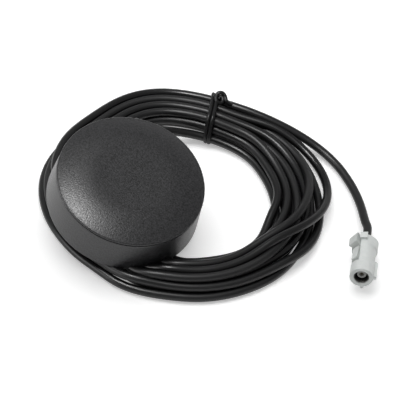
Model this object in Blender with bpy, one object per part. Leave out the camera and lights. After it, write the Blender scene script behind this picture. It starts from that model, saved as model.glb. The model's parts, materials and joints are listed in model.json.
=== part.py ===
# Magnetic-mount GPS antenna: a round puck that leans on its own coiled coaxial lead, with a wire tie round
# the coil and a grey moulded connector. Metres, +Z up. The origin is the middle of the puck's base face.
import math

import bmesh
import bpy
from mathutils import Euler, Matrix, Vector

mm = 0.001

# Driving dimensions, in metres
gap = 0.3 * mm
cable_diameter = 2.8 * mm

# The puck's shell: its outside follows from what it holds, further down
plateau_radius = 11.6 * mm
cover_edge = 0.55 * mm
dome_power = 1.8
wall = 1.9 * mm
wall_flare = 0.95 * mm
foot_chamfer = 0.25 * mm
cover_wall = 1.8 * mm
cover_clearance = 0.85 * mm
rim_below_patch = 0.2 * mm
spigot_depth = 1.5 * mm
spigot_wall = 1.1 * mm
ledge_width = 1.2 * mm
seal_thickness = 0.84 * mm

# The puck's floor, magnet and pad
pad_lip = 2.0 * mm
pad_thickness = 0.8 * mm
floor_thickness = 1.2 * mm
magnet_thickness = 2.5 * mm
pocket_wall = 1.1 * mm

# The board and what it carries
board_clearance = 0.45 * mm
board_thickness = 0.8 * mm
boss_radius = 2.4 * mm
boss_inset = 2.5 * mm
boss_to_hub = 1.7 * mm
screw_radius = 0.8 * mm
screw_head_radius = 1.8 * mm
screw_head_height = 1.1 * mm
screw_length = 3.6 * mm
shield_size = (16.0 * mm, 13.0 * mm, 2.2 * mm)
shield_wall = 0.35 * mm
filter_size = (3.0 * mm, 3.0 * mm, 1.1 * mm)
chip_size = (2.0 * mm, 2.0 * mm, 0.8 * mm)
chip_bevel = 0.12 * mm
tape_margin = 2.5 * mm
tape_thickness = 0.6 * mm
patch_size = 25.0 * mm
patch_thickness = 2.5 * mm
patch_margin = 2.32 * mm
pin_radius = 0.45 * mm
pin_head_height = 0.25 * mm
pin_offset = 2.0 * mm
pin_below_board = 0.5 * mm

# Where the cable leaves the puck, in the puck's own frame
exit_above_floor = 0.55 * mm
grommet_bore_gap = 0.15 * mm
grommet_wall = 0.4 * mm
boot_length = 1.4 * mm
ridge_height = 0.5 * mm
ridge_slope = 0.1 * mm
ridge_width = 0.4 * mm
core_standoff = 2.6 * mm
braid_length = 1.9 * mm
braid_radius = 1.05 * mm
core_radius = 0.45 * mm

# How the puck lies on the coil
tilt = math.radians(11.8)
lean_azimuth = math.radians(-43.4)
exit_azimuth = math.radians(90.0)
low_edge_height = 3.6 * mm
lean_gap = 0.5 * mm

# The coil. Azimuths and spreads are in degrees, and each spread is half the width of its stretch
coil_centre = Vector((17.2 * mm, 11.1 * mm, 0.0))
coil_line_x = 42.9 * mm
coil_line_y = 40.8 * mm
coil_width = 15.4 * mm
coil_height = 8.6 * mm
front_dip = 3.2 * mm
front_azimuth = 262.0
front_spread = 62.0
side_dip = 1.1 * mm
side_azimuth = 5.0
side_spread = 70.0
left_rise = 1.5 * mm
left_azimuth = 178.0
left_spread = 60.0
loose_bulge = 3.6 * mm
loose_azimuth = 10.0
loose_spread = 55.0
corner_power = 0.62

# The tie. Its tail and its loop are points as heights in wire widths, places in pitches and a turn
tie_azimuth = math.radians(78.0)
tie_spread = 24.0
tie_width = 1.4 * mm
tie_thickness = 1.0 * mm
tie_pitch = 1.75 * mm
tie_tail = ((2.0, -1.6), (1.2, -1.3))
tie_loop = (
    (1.4, 0.9, 0.3),
    (2.6, 1.0, 0.6),
    (3.5, 1.5, 0.8),
    (3.6, 2.3, 1.0),
    (2.9, 3.0, 1.0),
    (1.7, 3.6, 1.0),
)

# The connector, along its own axis from its rear end
housing_length = 19.4 * mm
housing_radius = 3.8 * mm
collar_radius = 4.1 * mm
collar_length = 6.0 * mm
mouth_radius = 2.45 * mm
rear_wall = 1.2 * mm
contact_recess = 1.1 * mm
insulator_recess = 1.5 * mm
insulator_radius = 1.5 * mm
shell_wall = 0.3 * mm
contact_slot = 0.4 * mm
contact_slot_length = 4.5 * mm
socket_radius = 0.45 * mm
socket_depth = 3.0 * mm
socket_bore = 0.25 * mm
crimp_length = 5.0 * mm
cable_insertion = 5.0 * mm
latch_width = 3.4 * mm
latch_thickness = 0.8 * mm
channel_depth = 0.85 * mm
latch_start = 1.3 * mm
latch_end = 10.8 * mm
pad_end = 5.4 * mm
pad_rise = 0.95 * mm
latch_azimuth = math.radians(60.0)
guard_azimuth = math.radians(17.0)
guard_half_width = 0.8 * mm
guard_end = 3.9 * mm
guard_rise = 0.95 * mm
rib_width = 1.2 * mm
rib_height = 0.9 * mm
rib_length = 7.4 * mm
connector_x = 77.8 * mm
connector_y = 3.8 * mm
connector_yaw = math.radians(-92.2)
connector_pitch = math.radians(7.0)

# The free runs of cable: hand-chosen points, as x, y and height above the floor
lead_in_route = [
    (0.4, 30.4, 16.9),
    (1.8, 34.4, 14.9),
    (4.6, 38.2, 12.6),
    (9.0, 41.4, 11.1),
    (13.2, 43.3, 10.7),
]
lead_out_route = [
    (42.0, 46.7, 8.8),
    (45.6, 46.0, 7.4),
    (50.0, 44.8, 5.4),
    (54.3, 43.7, 3.9),
    (58.7, 42.0, 2.6),
    (63.2, 38.7, 1.7),
    (66.1, 35.8, 1.5),
    (68.4, 32.7, 1.5),
    (72.2, 26.3, 1.5),
    (75.0, 19.4, 1.9),
    (76.9, 11.7, 3.0),
]

round_steps = 64


def clear_scene():
    for item in list(bpy.data.objects):
        bpy.data.objects.remove(item, do_unlink=True)


def material(name, colour, roughness, metallic=0.0):
    made = bpy.data.materials.new(name)
    made.use_nodes = True
    shader = made.node_tree.nodes["Principled BSDF"]
    shader.inputs["Base Color"].default_value = (*colour, 1.0)
    shader.inputs["Roughness"].default_value = roughness
    shader.inputs["Metallic"].default_value = metallic
    made.diffuse_color = (*colour, 1.0)
    return made


def place(name, bm, finish, parent=None, sharp_angle=35.0):
    """Makes an object of a bmesh, with its faces turned outwards and its round parts shaded smooth."""
    bmesh.ops.recalc_face_normals(bm, faces=bm.faces)
    mesh = bpy.data.meshes.new(name)
    bm.to_mesh(mesh)
    bm.free()
    mesh.shade_smooth()
    mesh.set_sharp_from_angle(angle=math.radians(sharp_angle))
    made = bpy.data.objects.new(name, mesh)
    bpy.context.scene.collection.objects.link(made)
    made.parent = parent
    if finish:
        mesh.materials.append(finish)
    return made


def turned_mesh(profile, steps=round_steps, along_x=False):
    """A closed outline of (radius, height) points, turned about Z, or about X with the heights along X."""
    bm = bmesh.new()
    points = [bm.verts.new((radius, 0.0, height)) for radius, height in profile]
    on_axis = profile[0][0] == 0.0 and profile[-1][0] == 0.0
    ends = len(points) - 1 if on_axis else len(points)
    edges = [bm.edges.new((points[i], points[(i + 1) % len(points)])) for i in range(ends)]
    bmesh.ops.spin(
        bm,
        geom=points + edges,
        cent=(0, 0, 0),
        axis=(0, 0, 1),
        angle=math.tau,
        steps=steps,
    )
    bmesh.ops.remove_doubles(bm, verts=bm.verts, dist=1e-7)
    if along_x:
        bmesh.ops.rotate(bm, verts=bm.verts, matrix=Matrix.Rotation(math.pi / 2, 3, "Y"))
    return bm


def turned(name, profile, finish, parent=None, steps=round_steps, along_x=False):
    return place(name, turned_mesh(profile, steps, along_x), finish, parent)


def block_mesh(low, high, bevel=0.0):
    """A box between two corners, with its edges bevelled."""
    bm = bmesh.new()
    size = [high[i] - low[i] for i in range(3)]
    middle = [(high[i] + low[i]) / 2 for i in range(3)]
    bmesh.ops.create_cube(bm, size=1.0)
    bmesh.ops.scale(bm, vec=size, verts=bm.verts)
    if bevel:
        bmesh.ops.bevel(bm, geom=bm.edges[:], offset=bevel, segments=1, affect="EDGES")
    bmesh.ops.translate(bm, vec=middle, verts=bm.verts)
    return bm


def block(name, low, high, finish, parent=None, bevel=0.0):
    return place(name, block_mesh(low, high, bevel), finish, parent)


def loft_mesh(rings, closed):
    """Joins rings of as many points each, into a ring of its own or into a bar with flat ends."""
    bm = bmesh.new()
    rows = [[bm.verts.new(point) for point in ring] for ring in rings]
    count = len(rows[0])
    for i in range(len(rows) if closed else len(rows) - 1):
        here, there = rows[i], rows[(i + 1) % len(rows)]
        for j in range(count):
            k = (j + 1) % count
            bm.faces.new((here[j], here[k], there[k], there[j]))
    if not closed:
        bm.faces.new(rows[0])
        bm.faces.new(rows[-1][::-1])
    return bm


def tool(bm, parent):
    """A cutter or an added form: it stays out of the renders and of the finished part."""
    made = place("shaping_tool", bm, None, parent)
    made.hide_render = True
    made.display_type = "WIRE"
    return made


def shape(target, bm, operation, parent):
    """Cuts the bmesh out of the target, or joins it on."""
    modifier = target.modifiers.new(operation.lower(), "BOOLEAN")
    modifier.operation = operation
    modifier.object = tool(bm, parent)


def bar_mesh(radius, low, high, centre=(0.0, 0.0), steps=24, along_x=False):
    """A round bar: centre is its place across the axis."""
    bm = turned_mesh([(0.0, high), (radius, high), (radius, low), (0.0, low)], steps, along_x)
    shift = (0.0, centre[0], centre[1]) if along_x else (centre[0], centre[1], 0.0)
    bmesh.ops.translate(bm, vec=shift, verts=bm.verts)
    return bm


def smooth_route(route, spacing):
    """Evenly spaced points on a Catmull-Rom curve through the route."""
    ends = [2 * route[0] - route[1], *route, 2 * route[-1] - route[-2]]
    dense = []
    for i in range(len(route) - 1):
        a, b, c, d = ends[i : i + 4]
        for step in range(40):
            t = step / 40
            bend = 2 * a - 5 * b + 4 * c - d
            swing = 3 * b - a - 3 * c + d
            dense.append(0.5 * (2 * b + (c - a) * t + bend * t**2 + swing * t**3))
    dense.append(route[-1])
    travelled = [0.0]
    for here, there in zip(dense, dense[1:]):
        travelled.append(travelled[-1] + (there - here).length)
    count = max(2, round(travelled[-1] / spacing))
    chosen = []
    k = 0
    for i in range(count + 1):
        wanted = travelled[-1] * i / count
        while k < len(dense) - 2 and travelled[k + 1] < wanted:
            k += 1
        share = (wanted - travelled[k]) / (travelled[k + 1] - travelled[k])
        chosen.append(dense[k].lerp(dense[k + 1], share))
    return chosen


def tube(name, points, radius, finish, parent=None):
    """A round tube along a line of points, with closed ends."""
    curve = bpy.data.curves.new(name, "CURVE")
    curve.dimensions = "3D"
    curve.bevel_depth = radius
    curve.bevel_resolution = 2
    curve.use_fill_caps = True
    spline = curve.splines.new("POLY")
    spline.points.add(len(points) - 1)
    for place_of, point in zip(spline.points, points):
        place_of.co = (*point, 1.0)
    curve.materials.append(finish)
    made = bpy.data.objects.new(name, curve)
    bpy.context.scene.collection.objects.link(made)
    made.parent = parent
    return made


def above_floor(route):
    """Route points from millimetres and heights above the floor to the part's frame."""
    return [Vector((x * mm, y * mm, z * mm + floor_z)) for x, y, z in route]


# The puck, from its patch outwards and from its pad upwards

board_radius = patch_size / math.sqrt(2) + patch_margin
boss_circle = board_radius - boss_inset
seat_radius = board_radius + board_clearance + ledge_width
rim_radius = seat_radius + wall
base_radius = rim_radius + wall_flare
pad_radius = base_radius - pad_lip
hub_radius = boss_circle - boss_radius - boss_to_hub
magnet_radius = hub_radius - pocket_wall - gap
pad_top = pad_thickness
recess_top = pad_top + gap
magnet_top = recess_top + magnet_thickness
pocket_top = magnet_top + gap
hub_top = pocket_top + pocket_wall
floor_top = recess_top + floor_thickness
shield_low = hub_top + gap
shield_top = shield_low + shield_size[2]
board_low = shield_top + gap
board_top = board_low + board_thickness
boss_top = board_low - gap
tape_low = board_top + gap
patch_low = tape_low + tape_thickness + gap
patch_top = patch_low + patch_thickness
rim_height = patch_top - rim_below_patch
total_height = patch_top + gap + pin_head_height + cover_clearance + cover_wall
grommet_bore = cable_diameter / 2 + grommet_bore_gap
grommet_radius = grommet_bore + grommet_wall
exit_height = floor_top + exit_above_floor + grommet_radius + gap
floor_z = -(low_edge_height + base_radius * math.sin(tilt))
spigot_outer = seat_radius - gap
ledge_top = rim_height - spigot_depth - 2 * gap - seal_thickness
cover_low = rim_height + gap


def puck_frame():
    """The puck's own axes: Z along its tilted axis, X towards the cable's way out."""
    frame = bpy.data.objects.new("puck_frame", None)
    bpy.context.scene.collection.objects.link(frame)
    turn = (
        Matrix.Rotation(lean_azimuth, 4, "Z")
        @ Matrix.Rotation(tilt, 4, "Y")
        @ Matrix.Rotation(exit_azimuth - lean_azimuth, 4, "Z")
    )
    frame.rotation_euler = turn.to_euler()
    return frame, turn


def dome_height(radius):
    """Height of the cover's top: flat in the middle, then falling ever faster to its edge."""
    share = max(0.0, (radius - plateau_radius) / (rim_radius - plateau_radius))
    return total_height - (total_height - cover_low - cover_edge) * share**dome_power


def top_cover(parent, finish):
    slope = [plateau_radius + (rim_radius - plateau_radius) * i / 8 for i in range(9)]
    outside = [(radius, dome_height(radius)) for radius in slope[:-1]]
    edge = [
        (rim_radius - 0.3 * cover_edge, cover_low + cover_edge),
        (rim_radius, cover_low + 0.7 * cover_edge),
        (rim_radius, cover_low),
    ]
    spigot = [
        (spigot_outer, cover_low),
        (spigot_outer, rim_height - spigot_depth),
        (spigot_outer - spigot_wall, rim_height - spigot_depth),
    ]
    inner = spigot_outer - spigot_wall
    under = [inner + (plateau_radius - inner) * i / 4 for i in range(5)]
    inside = [(radius, dome_height(radius) - cover_wall) for radius in under]
    profile = [(0.0, total_height), *outside, *edge, *spigot, *inside, (0.0, total_height - cover_wall)]
    turned("top_cover", profile, finish, parent)


def outer_radius_at(height):
    """The flared side wall's outer radius."""
    return base_radius + (rim_radius - base_radius) * height / rim_height


def housing_body(parent, finish):
    inner_low = outer_radius_at(floor_top) - wall
    shelf = seat_radius - ledge_width
    profile = [
        (0.0, hub_top),
        (hub_radius, hub_top),
        (hub_radius, floor_top),
        (inner_low, floor_top),
        (seat_radius, ledge_top - 1.3 * ledge_width),
        (shelf, ledge_top - 0.5 * ledge_width),
        (shelf, ledge_top),
        (seat_radius, ledge_top),
        (seat_radius, rim_height),
        (rim_radius, rim_height),
        (outer_radius_at(foot_chamfer), foot_chamfer),
        (base_radius - foot_chamfer, 0.0),
        (pad_radius + gap, 0.0),
        (pad_radius + gap, recess_top),
        (magnet_radius + gap, recess_top),
        (magnet_radius + gap, pocket_top),
        (0.0, pocket_top),
    ]
    body = turned("housing_body", profile, finish, parent)
    for centre in boss_centres():
        boss = bar_mesh(boss_radius, floor_top - 0.5 * floor_thickness, boss_top, centre)
        shape(body, boss, "UNION", parent)
        pilot = bar_mesh(screw_radius + gap, floor_top, boss_top + gap, centre, 16)
        shape(body, pilot, "DIFFERENCE", parent)
    hole_low = inner_low - 2 * ledge_width
    hole_high = base_radius + wall
    hole = bar_mesh(grommet_radius + gap, hole_low, hole_high, (0.0, exit_height), along_x=True)
    shape(body, hole, "DIFFERENCE", parent)


def boss_centres():
    """Three bosses, at the sides that the cable doesn't come in from."""
    return [
        (boss_circle * math.cos(math.radians(angle)), boss_circle * math.sin(math.radians(angle)))
        for angle in (90.0, 180.0, 270.0)
    ]


def sealing_ring(parent, finish):
    radius = seal_thickness / 2
    middle = seat_radius - ledge_width / 2
    height = ledge_top + gap + radius
    profile = [
        (middle + radius * math.cos(-math.tau * i / 8), height + radius * math.sin(-math.tau * i / 8))
        for i in range(8)
    ]
    turned("sealing_ring", profile, finish, parent, steps=48)


def base_magnet(parent, finish):
    chamfer = 0.3 * mm
    profile = [
        (0.0, magnet_top),
        (magnet_radius - chamfer, magnet_top),
        (magnet_radius, magnet_top - chamfer),
        (magnet_radius, recess_top + chamfer),
        (magnet_radius - chamfer, recess_top),
        (0.0, recess_top),
    ]
    turned("base_magnet", profile, finish, parent, steps=48)


def base_pad(parent, finish):
    profile = [(0.0, pad_top), (pad_radius, pad_top), (pad_radius, 0.0), (0.0, 0.0)]
    turned("base_pad", profile, finish, parent)


def circuit_board(parent, finish):
    bm = bmesh.new()
    bmesh.ops.create_cone(
        bm,
        cap_ends=True,
        segments=round_steps,
        radius1=board_radius,
        radius2=board_radius,
        depth=board_thickness,
    )
    bmesh.ops.translate(bm, vec=(0.0, 0.0, board_low + board_thickness / 2), verts=bm.verts)
    board = place("circuit_board", bm, finish, parent)
    for centre in boss_centres():
        hole = bar_mesh(screw_radius + gap, board_low - gap, board_top + gap, centre, 16)
        shape(board, hole, "DIFFERENCE", parent)
    shape(board, pin_hole(board_low, board_top), "DIFFERENCE", parent)


def board_screws(parent, finish):
    head_low = board_top + gap
    profile = [
        (0.0, head_low + screw_head_height),
        (0.55 * screw_head_radius, head_low + screw_head_height),
        (screw_head_radius, head_low + 0.45 * screw_head_height),
        (screw_head_radius, head_low),
        (screw_radius, head_low),
        (screw_radius, head_low - screw_length),
        (0.0, head_low - screw_length - screw_radius),
    ]
    for number, centre in enumerate(boss_centres(), 1):
        screw = turned(f"board_screw_{number}", profile, finish, parent, steps=20)
        screw.location = (*centre, 0.0)


def pin_hole(low, high):
    """The feed pin's hole through a layer between two heights."""
    return bar_mesh(pin_radius + gap, low - gap, high + gap, (pin_offset, 0.0), 12)


def ceramic_patch(parent, finish):
    half = patch_size / 2
    low, high = (-half, -half, patch_low), (half, half, patch_top)
    patch = block("ceramic_patch", low, high, finish, parent, 0.3 * mm)
    shape(patch, pin_hole(patch_low, patch_top), "DIFFERENCE", parent)


def patch_tape(parent, finish):
    half = patch_size / 2 - tape_margin
    top = tape_low + tape_thickness
    tape = block("patch_tape", (-half, -half, tape_low), (half, half, top), finish, parent)
    shape(tape, pin_hole(tape_low, top), "DIFFERENCE", parent)


def feed_pin(parent, finish):
    head = patch_top + gap
    profile = [
        (0.0, head + pin_head_height),
        (2.2 * pin_radius, head + 0.6 * pin_head_height),
        (2.2 * pin_radius, head),
        (pin_radius, head),
        (pin_radius, board_low - pin_below_board),
        (0.0, board_low - pin_below_board),
    ]
    pin = turned("feed_pin", profile, finish, parent, steps=12)
    pin.location = (pin_offset, 0.0, 0.0)


def shield_can(parent, finish):
    half_x, half_y = shield_size[0] / 2, shield_size[1] / 2
    low, high = (-half_x, -half_y, shield_low), (half_x, half_y, shield_top)
    can = block("shield_can", low, high, finish, parent, 0.2 * mm)
    low = (-half_x + shield_wall, -half_y + shield_wall, shield_low + shield_wall)
    high = (half_x - shield_wall, half_y - shield_wall, shield_top + gap)
    shape(can, block_mesh(low, high), "DIFFERENCE", parent)


def board_chips(parent, finish):
    """The amplifier's parts hang under the board, inside the shield."""
    along, across = 0.25 * shield_size[0], 0.2 * shield_size[1]
    chips = {
        "band_filter": ((-along, across), filter_size),
        "amplifier_chip": ((-along, -across), chip_size),
        "second_amplifier_chip": ((along, -across), chip_size),
    }
    top = board_low - gap
    for name, ((x, y), (length, width, height)) in chips.items():
        low = (x - length / 2, y - width / 2, top - height)
        high = (x + length / 2, y + width / 2, top)
        block(name, low, high, finish, parent, chip_bevel)


def exit_start():
    """The boot's outer end, along the puck's own X."""
    return outer_radius_at(exit_height) + boot_length


def cable_grommet(parent, finish):
    """A bush in the wall, with a snap ridge inside and a short boot outside."""
    bore = grommet_bore
    body = grommet_radius
    outer_face = outer_radius_at(exit_height)
    ridge = body + ridge_height
    inner_face = math.sqrt(seat_radius**2 - ridge**2)
    profile = [
        (bore, exit_start()),
        (body, exit_start()),
        (body + 0.8 * gap, outer_face + 0.3 * boot_length),
        (body, outer_face - gap),
        (body, inner_face - gap),
        (ridge, inner_face - gap - ridge_slope),
        (ridge, inner_face - gap - ridge_width),
        (body, inner_face - gap - 2 * ridge_width),
        (bore, inner_face - gap - 2 * ridge_width),
    ]
    grommet = turned("cable_grommet", profile, finish, parent, steps=24, along_x=True)
    grommet.location = (0.0, 0.0, exit_height)


def cable_end_inside(parent, jacket, braid, core):
    """The cable's stripped end: jacket through the grommet, then braid, then the core up to the board."""
    start = exit_start()
    core_start = hub_radius + core_standoff
    braid_low = core_start + gap
    braid_high = braid_low + braid_length
    jacket_low = braid_high + gap
    height = (0.0, exit_height)
    jacket_bar = bar_mesh(cable_diameter / 2, jacket_low, start, height, 16, True)
    place("cable_jacket_end", jacket_bar, jacket, parent)
    braid_bar = bar_mesh(braid_radius, braid_low, braid_high, height, 16, True)
    place("cable_braid_end", braid_bar, braid, parent)
    core_top = board_low - gap
    bend = core_top - exit_height
    route = [
        Vector((core_start, 0.0, exit_height)),
        Vector((core_start - 0.3 * bend, 0.0, exit_height + 0.04 * bend)),
        Vector((core_start - 0.6 * bend, 0.0, exit_height + 0.3 * bend)),
        Vector((core_start - 0.7 * bend, 0.0, core_top)),
    ]
    tube("cable_core_end", smooth_route(route, 0.5 * mm), core_radius, core, parent)


# The coil and the tie


def bell(azimuth, middle, half_width):
    """1 at the middle, falling smoothly to 0 at half_width on each side of it; all in degrees."""
    away = abs((math.degrees(azimuth) - middle + 180.0) % 360.0 - 180.0)
    return math.cos(math.radians(90.0 * away / half_width)) ** 2 if away < half_width else 0.0


def coil_radii(azimuth):
    """Inner and outer radius of the coil: its outermost turn lies on an oval, and two turns bulge out."""
    across, along = math.cos(azimuth) / coil_line_x, math.sin(azimuth) / coil_line_y
    outer = 1.0 / math.hypot(across, along) + cable_diameter / 2
    return outer - coil_width, outer + loose_bulge * bell(azimuth, loose_azimuth, loose_spread)


def coil_heights(azimuth):
    """The coil's underside and top: lifted by the tie, low in front under the puck, high at the left."""
    low = (tie_thickness + 2 * gap) * bell(azimuth, math.degrees(tie_azimuth), tie_spread)
    top = coil_height + 0.6 * low
    top -= front_dip * bell(azimuth, front_azimuth, front_spread)
    top -= side_dip * bell(azimuth, side_azimuth, side_spread)
    top += left_rise * bell(azimuth, left_azimuth, left_spread)
    return floor_z + low, floor_z + top


def coil_section(azimuth, grow=0.0, count=14):
    """(radius, height) points round the coil's section, a rounded box with a flat underside."""
    inner, outer = coil_radii(azimuth)
    low, high = coil_heights(azimuth)
    middle, half = (inner + outer) / 2, (outer - inner) / 2 + grow
    level, rise = (low + high) / 2, (high - low) / 2 + grow
    points = []
    for i in range(count):
        angle = math.tau * (i + 0.5) / count
        across = math.copysign(abs(math.cos(angle)) ** corner_power, math.cos(angle))
        upward = math.copysign(abs(math.sin(angle)) ** corner_power, math.sin(angle))
        points.append((middle + half * across, level + rise * upward))
    return points


def at_coil(azimuth, radius, height, along=0.0):
    """The point at this place in the coil's section, moved along the turn by a length."""
    out = Vector((math.cos(azimuth), math.sin(azimuth), 0.0))
    turn = Vector((math.sin(azimuth), -math.cos(azimuth), 0.0))
    return coil_centre + out * radius + turn * along + Vector((0.0, 0.0, height))


def cable_coil(finish, up):
    """The coiled cable's outer shape. Its top stays under the puck's tilted base, which lies on it."""
    rings = []
    for i in range(72):
        azimuth = math.tau * i / 72
        ring = []
        for radius, height in coil_section(azimuth):
            point = at_coil(azimuth, radius, height)
            flat = point - up * point.dot(up)
            if flat.length < base_radius + 3 * mm:
                base_height = -(up.x * point.x + up.y * point.y) / up.z
                point.z = min(point.z, base_height - lean_gap / up.z)
            ring.append(point)
        rings.append(ring)
    place("cable_coil", loft_mesh(rings, True), finish, sharp_angle=50.0)


def twist_tie(finish):
    """A coated wire wound twice round the coil, its end folded into a small loop that stands on top."""
    clear = gap + tie_thickness / 2
    steps = 28
    section = coil_section(tie_azimuth, clear, steps)
    top = coil_heights(tie_azimuth)[1] + clear
    first = steps // 7
    outward = Vector((math.cos(tie_azimuth), math.sin(tie_azimuth), 0.0))
    turn = Vector((math.sin(tie_azimuth), -math.cos(tie_azimuth), 0.0))
    start_radius = section[first][0]
    rows = []
    for height, along in tie_tail:
        tail_radius = start_radius + tie_thickness
        point = at_coil(tie_azimuth, tail_radius, top + height * tie_width, along * tie_pitch)
        rows.append((point, turn))
    for i in range(1, 2 * steps - 1):
        radius, height = section[(first - i) % steps]
        rows.append((at_coil(tie_azimuth, radius, height, tie_pitch * (i / steps - 1.0)), turn))
    for height, along, twist in tie_loop:
        loop_radius = start_radius + 0.5 * tie_thickness
        point = at_coil(tie_azimuth, loop_radius, top + height * tie_width, along * tie_pitch)
        rows.append((point, turn.lerp(outward, twist)))
    flat, rounded = (0.3, 0.5), (0.5, 0.25)
    corners = [(-flat[0], flat[1]), flat, rounded, (rounded[0], -rounded[1])]
    corners += [(-across, -upward) for across, upward in corners]
    rings = []
    for i, (point, side) in enumerate(rows):
        path = (rows[min(len(rows) - 1, i + 1)][0] - rows[max(0, i - 1)][0]).normalized()
        side = (side - path * side.dot(path)).normalized()
        normal = path.cross(side)
        rings.append([point + side * a * tie_width + normal * b * tie_thickness for a, b in corners])
    place("twist_tie", loft_mesh(rings, False), finish, sharp_angle=50.0)


# The connector


def connector_frame():
    """The connector's own axes: X along its axis towards its mouth, Z up, from its rear end."""
    frame = bpy.data.objects.new("connector_frame", None)
    bpy.context.scene.collection.objects.link(frame)
    frame.rotation_euler = Euler((0.0, -connector_pitch, connector_yaw), "XYZ")
    frame.location = (connector_x, connector_y, floor_z + collar_radius)
    turn = Matrix.Translation(frame.location) @ frame.rotation_euler.to_matrix().to_4x4()
    return frame, turn


def round_the_axis(bm, azimuth):
    """Turns a form built on top of the connector round its axis."""
    bmesh.ops.rotate(bm, verts=bm.verts, matrix=Matrix.Rotation(azimuth, 3, "X"))
    return bm


def bar_along(profile, half_width):
    """A bar whose side view is an outline of (x, height) points, of an even width."""
    rings = [[(x, side * half_width, height) for x, height in profile] for side in (-1, 1)]
    return loft_mesh(rings, False)


def connector_housing(parent, finish):
    chamfer = 0.35 * mm
    bore = cable_diameter / 2 + gap
    profile = [
        (bore, 0.0),
        (collar_radius - 2 * chamfer, 0.0),
        (collar_radius, chamfer),
        (collar_radius, collar_length),
        (housing_radius, collar_length + 4 * chamfer),
        (housing_radius, housing_length - chamfer),
        (housing_radius - chamfer, housing_length),
        (mouth_radius + 0.7 * chamfer, housing_length),
        (mouth_radius, housing_length - 0.7 * chamfer),
        (mouth_radius, rear_wall),
        (bore, rear_wall),
    ]
    profile = [(radius, length) for radius, length in profile[::-1]]
    housing = turned("connector_housing", profile, finish, parent, steps=48, along_x=True)
    channel_floor = housing_radius - channel_depth
    arm_low = channel_floor + gap
    arm_top = arm_low + latch_thickness
    half = latch_width / 2
    low = (-gap, -half - 2 * gap, channel_floor)
    high = (latch_end + 2 * gap, half + 2 * gap, 2 * collar_radius)
    shape(housing, round_the_axis(block_mesh(low, high), latch_azimuth), "DIFFERENCE", parent)
    side_view = [
        (latch_start, arm_low),
        (latch_end, arm_low),
        (latch_end, arm_low + 0.4 * latch_thickness),
        (latch_end - 1.2 * mm, arm_top + 0.35 * mm),
        (latch_end - 2.2 * mm, arm_top),
        (pad_end + 0.3 * mm, arm_top),
        (pad_end, arm_top + pad_rise),
        (latch_start + 0.5 * mm, arm_top + pad_rise),
        (latch_start, arm_top + 0.6 * pad_rise),
    ]
    arm = bar_along(side_view, half)
    shape(housing, round_the_axis(arm, latch_azimuth), "UNION", parent)
    middle = (pad_end + latch_end) / 2
    low = (middle - 0.8 * mm, -half + gap, channel_floor - 0.3 * mm)
    high = (middle + 0.8 * mm, half - gap, arm_low + 0.3 * mm)
    shape(housing, round_the_axis(block_mesh(low, high), latch_azimuth), "UNION", parent)
    rooted = (mouth_radius + housing_radius) / 2
    guard_start = 0.7 * chamfer
    guard_view = [
        (guard_start, rooted),
        (guard_end, rooted),
        (guard_end - chamfer, collar_radius + 0.8 * guard_rise),
        (guard_start + 2 * chamfer, collar_radius + guard_rise),
        (guard_start, collar_radius + 0.5 * guard_rise),
    ]
    guard = bar_along(guard_view, guard_half_width)
    shape(housing, round_the_axis(guard, guard_azimuth), "UNION", parent)
    rib_end = housing_length - 0.4 * mm
    for azimuth in (-95.0, 180.0):
        rib = block_mesh(
            (rib_end - rib_length, -rib_width / 2, rooted),
            (rib_end, rib_width / 2, housing_radius + rib_height),
            0.15 * mm,
        )
        shape(housing, round_the_axis(rib, math.radians(azimuth)), "UNION", parent)


def connector_contacts(parent, plated, white, gold):
    """Crimp sleeve, outer contact, insulator and centre contact, all on the connector's axis."""
    sleeve_outer = mouth_radius - gap
    sleeve_low = rear_wall + gap
    crimp_bore = cable_diameter / 2 + gap
    crimp = [
        (crimp_bore, sleeve_low),
        (crimp_bore, sleeve_low + crimp_length),
        (sleeve_outer, sleeve_low + crimp_length),
        (sleeve_outer, sleeve_low),
    ]
    turned("crimp_sleeve", crimp, plated, parent, steps=24, along_x=True)
    contact_low = sleeve_low + crimp_length + gap
    contact_high = housing_length - contact_recess
    inner = sleeve_outer - shell_wall
    contact = [
        (inner, contact_low),
        (inner, contact_high),
        (sleeve_outer - 0.4 * shell_wall, contact_high),
        (sleeve_outer, contact_high - 0.6 * mm),
        (sleeve_outer, contact_low),
    ]
    shell = turned("outer_contact", contact, plated, parent, steps=24, along_x=True)
    for azimuth in (45.0, 135.0):
        slot = block_mesh(
            (contact_high - contact_slot_length, -contact_slot / 2, -2 * sleeve_outer),
            (contact_high + gap, contact_slot / 2, 2 * sleeve_outer),
        )
        shape(shell, round_the_axis(slot, math.radians(azimuth)), "DIFFERENCE", parent)
    insulator_low = contact_low + 2 * gap
    insulator_high = housing_length - insulator_recess
    insulator = [
        (socket_radius + gap, insulator_low),
        (socket_radius + gap, insulator_high - 0.1 * mm),
        (socket_radius + gap + 0.1 * mm, insulator_high),
        (insulator_radius - 0.15 * mm, insulator_high),
        (insulator_radius, insulator_high - 0.15 * mm),
        (insulator_radius, insulator_low),
    ]
    turned("contact_insulator", insulator, white, parent, steps=24, along_x=True)
    socket_high = insulator_high - gap
    socket = [
        (0.0, socket_high - socket_depth),
        (socket_bore, socket_high - socket_depth + socket_bore),
        (socket_bore, socket_high),
        (socket_radius, socket_high),
        (socket_radius, contact_low),
        (0.0, contact_low),
    ]
    turned("centre_contact", socket, gold, parent, steps=12, along_x=True)


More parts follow.
